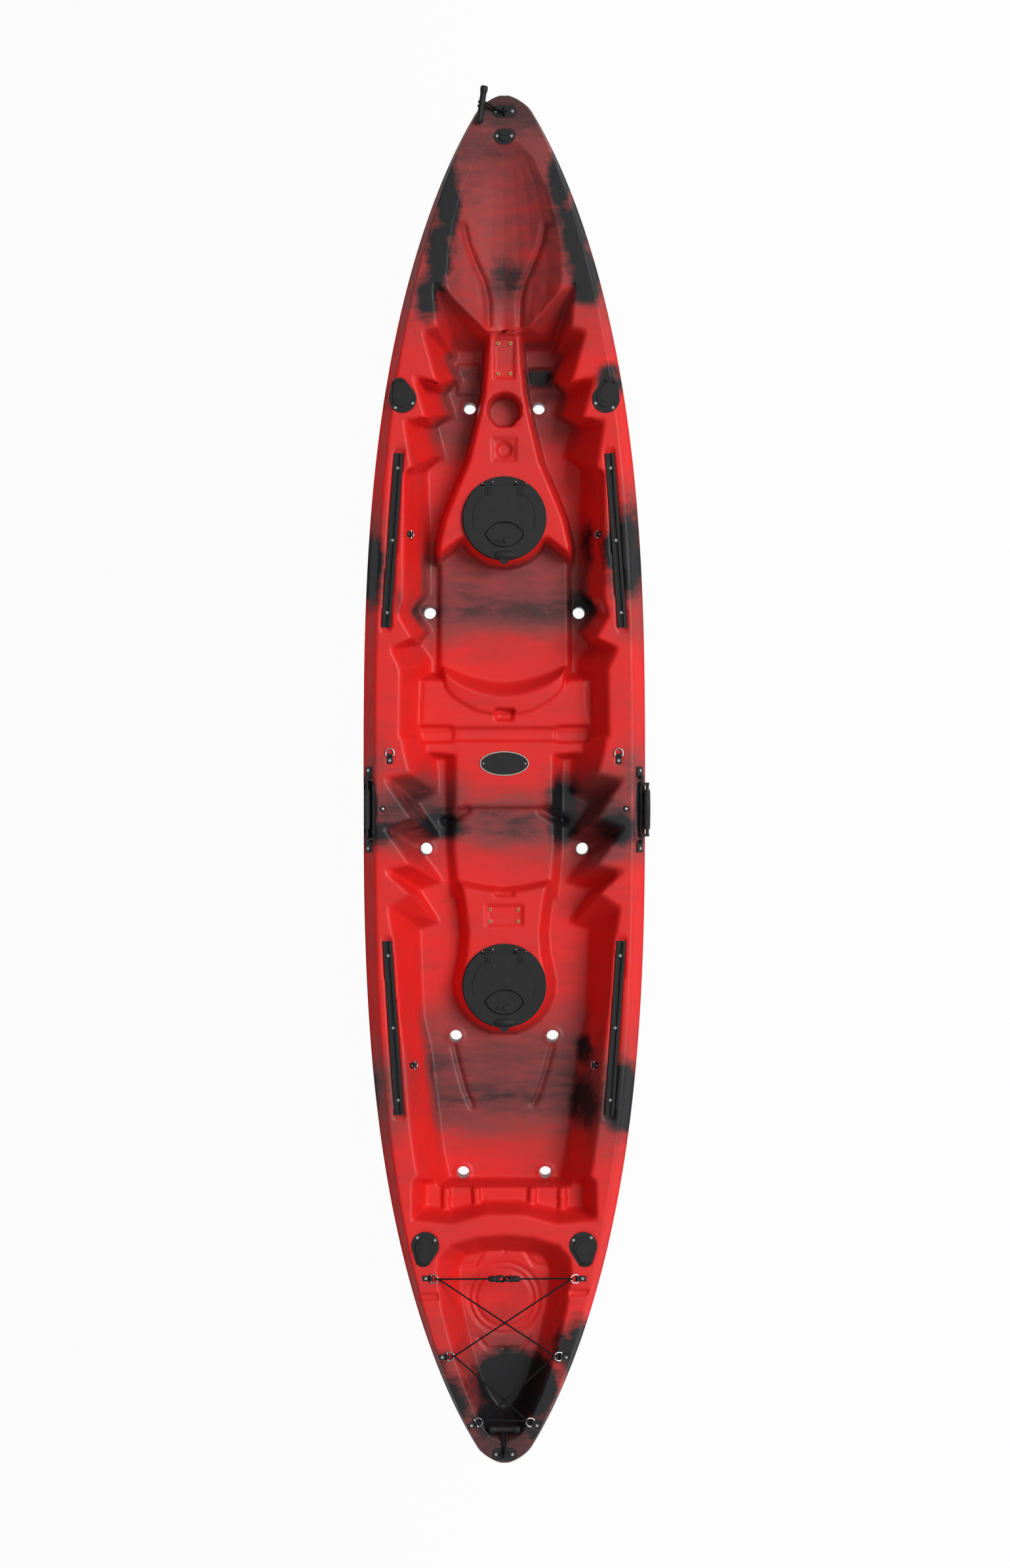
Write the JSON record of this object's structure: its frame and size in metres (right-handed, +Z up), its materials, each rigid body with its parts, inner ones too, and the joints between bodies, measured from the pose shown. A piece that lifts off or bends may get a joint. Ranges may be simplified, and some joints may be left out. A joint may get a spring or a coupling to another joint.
{
  "type": "tandem sit-on-top kayak",
  "caption": "sit-on-top kayak for two paddlers: hollow moulded hull with foot wells, seats, lidded hatches, rod holders, gear tracks, grab handles and a tank well under shock cord",
  "frame": {"origin": "on the keel's flat underside, below the middle of the hull", "axes": "+Y to the bow, +X to the right-hand side, +Z up"},
  "size_m": [0.8418, 3.9843, 0.3997],
  "materials": {
    "hull_plastic": "satin moulded plastic",
    "black_plastic": "satin",
    "black_rubber": "matte",
    "black_cord": "woven",
    "stainless": "polished",
    "brass": "machined"
  },
  "bodies": {
    "hull": {"hull_shell": "hull_plastic", "front_hatch_rim": "black_plastic", "front_hatch_pins": "stainless", "rear_hatch_rim": "black_plastic", "rear_hatch_pins": "stainless", "hatch_screws": "stainless", "rod_holder_fr": "black_plastic", "rod_holder_fl": "black_plastic", "rod_holder_rr": "black_plastic", "rod_holder_rl": "black_plastic", "rod_holder_screws": "stainless", "gear_track_fr": "black_plastic", "gear_track_fl": "black_plastic", "gear_track_rr": "black_plastic", "gear_track_rl": "black_plastic", "gear_track_screws": "stainless", "ring_tabs": "black_plastic", "ring_tab_screws": "stainless", "stern_rings": "stainless", "bungee_cord": "black_cord", "bungee_hook": "black_plastic", "bungee_eye": "black_plastic", "handle_brackets": "black_plastic", "handle_screws": "stainless", "bow_saddle": "black_plastic", "stern_saddle": "black_plastic", "saddle_screws": "stainless", "drain_flange": "black_plastic", "drain_seal": "black_rubber", "drain_screws": "stainless", "threaded_inserts": "brass", "oval_plate": "black_plastic", "plate_rivets": "stainless", "deck_buttons": "black_plastic"},
    "front_lid": {"front_hatch_lid": "black_plastic", "front_hatch_seal": "black_rubber"},
    "front_latch": {"front_hatch_latch": "black_plastic"},
    "rear_lid": {"rear_hatch_lid": "black_plastic", "rear_hatch_seal": "black_rubber"},
    "rear_latch": {"rear_hatch_latch": "black_plastic"},
    "cap_fr": {"rod_cap_fr": "black_plastic"},
    "cap_fl": {"rod_cap_fl": "black_plastic"},
    "cap_rr": {"rod_cap_rr": "black_plastic"},
    "cap_rl": {"rod_cap_rl": "black_plastic"},
    "deck_ring_r_body": {"deck_ring_r": "stainless"},
    "deck_ring_l_body": {"deck_ring_l": "stainless"},
    "well_ring_fr_body": {"well_ring_fr": "stainless"},
    "well_ring_fl_body": {"well_ring_fl": "stainless"},
    "well_ring_rr_body": {"well_ring_rr": "stainless"},
    "well_ring_rl_body": {"well_ring_rl": "stainless"},
    "handle_r": {"handle_rod_r": "black_plastic", "handle_grip_r": "black_rubber"},
    "handle_l": {"handle_rod_l": "black_plastic", "handle_grip_l": "black_rubber"},
    "bow_grab": {"bow_cord": "black_cord", "bow_toggle": "black_plastic"},
    "stern_grab": {"stern_cord": "black_cord", "stern_toggle": "black_plastic"},
    "drain": {"drain_plug": "black_plastic"}
  },
  "joints": [
    {"name": "front_lid_hinge", "type": "hinge", "parent": "hull", "child": "front_lid", "pos_m": [0, 0.872, 0.217], "axis": [-1, 0, 0], "range_deg": [0, 105]},
    {"name": "front_latch_pivot", "type": "hinge", "parent": "front_lid", "child": "front_latch", "pos_m": [0, 0.751, 0.213], "axis": [-1, 0, 0], "range_deg": [0, 22]},
    {"name": "rear_lid_hinge", "type": "hinge", "parent": "hull", "child": "rear_lid", "pos_m": [0, -0.504, 0.2], "axis": [-1, 0, 0], "range_deg": [0, 105]},
    {"name": "rear_latch_pivot", "type": "hinge", "parent": "rear_lid", "child": "rear_latch", "pos_m": [0, -0.625, 0.196], "axis": [-1, 0, 0], "range_deg": [0, 22]},
    {"name": "cap_hinge_fr", "type": "hinge", "parent": "hull", "child": "cap_fr", "pos_m": [0.30889, 1.1612, 0.31682], "axis": [-0.9703, 0.2416, 0.0128], "range_deg": [0, 110]},
    {"name": "cap_hinge_fl", "type": "hinge", "parent": "hull", "child": "cap_fl", "pos_m": [-0.30889, 1.1612, 0.31682], "axis": [-0.9703, -0.2416, -0.0128], "range_deg": [0, 110]},
    {"name": "cap_hinge_rr", "type": "hinge", "parent": "hull", "child": "cap_rr", "pos_m": [0.23726, -1.4062, 0.31573], "axis": [0.9903, 0.139, -0.0059], "range_deg": [0, 110]},
    {"name": "cap_hinge_rl", "type": "hinge", "parent": "hull", "child": "cap_rl", "pos_m": [-0.23726, -1.4062, 0.31573], "axis": [0.9903, -0.139, 0.0059], "range_deg": [0, 110]},
    {"name": "deck_ring_hinge_r", "type": "hinge", "parent": "hull", "child": "deck_ring_r_body", "pos_m": [0.334, 0.07299, 0.28506], "axis": [1, 0, 0], "range_deg": [0, 150]},
    {"name": "deck_ring_hinge_l", "type": "hinge", "parent": "hull", "child": "deck_ring_l_body", "pos_m": [-0.334, 0.07299, 0.28506], "axis": [1, 0, 0], "range_deg": [0, 150]},
    {"name": "well_ring_hinge_fr", "type": "hinge", "parent": "hull", "child": "well_ring_fr_body", "pos_m": [0.27247, 0.721, 0.24171], "axis": [0, 1, 0], "range_deg": [0, 120]},
    {"name": "well_ring_hinge_fl", "type": "hinge", "parent": "hull", "child": "well_ring_fl_body", "pos_m": [-0.27247, 0.721, 0.24171], "axis": [0, -1, 0], "range_deg": [0, 120]},
    {"name": "well_ring_hinge_rr", "type": "hinge", "parent": "hull", "child": "well_ring_rr_body", "pos_m": [0.26252, -0.835, 0.24233], "axis": [0, 1, 0], "range_deg": [0, 120]},
    {"name": "well_ring_hinge_rl", "type": "hinge", "parent": "hull", "child": "well_ring_rl_body", "pos_m": [-0.26252, -0.835, 0.24233], "axis": [0, -1, 0], "range_deg": [0, 120]},
    {"name": "handle_hinge_r", "type": "hinge", "parent": "hull", "child": "handle_r", "pos_m": [0.40183, -0.085, 0.26486], "axis": [0, 1, 0], "range_deg": [-60, 80]},
    {"name": "handle_hinge_l", "type": "hinge", "parent": "hull", "child": "handle_l", "pos_m": [-0.40183, -0.085, 0.26486], "axis": [0, 1, 0], "range_deg": [0, 150]},
    {"name": "bow_grab_hinge", "type": "hinge", "parent": "hull", "child": "bow_grab", "pos_m": [0, 1.93162, 0.38354], "axis": [0, 0.9948, 0.102], "range_deg": [0, 60]},
    {"name": "stern_grab_hinge", "type": "hinge", "parent": "hull", "child": "stern_grab", "pos_m": [0, -1.95312, 0.35175], "axis": [1, 0, 0], "range_deg": [0, 60]},
    {"name": "drain_turn", "type": "hinge", "parent": "hull", "child": "drain", "pos_m": [0, 1.86315, 0.36159], "axis": [0, -0.0976, 0.9952], "range_deg": [0, 180]}
  ]
}
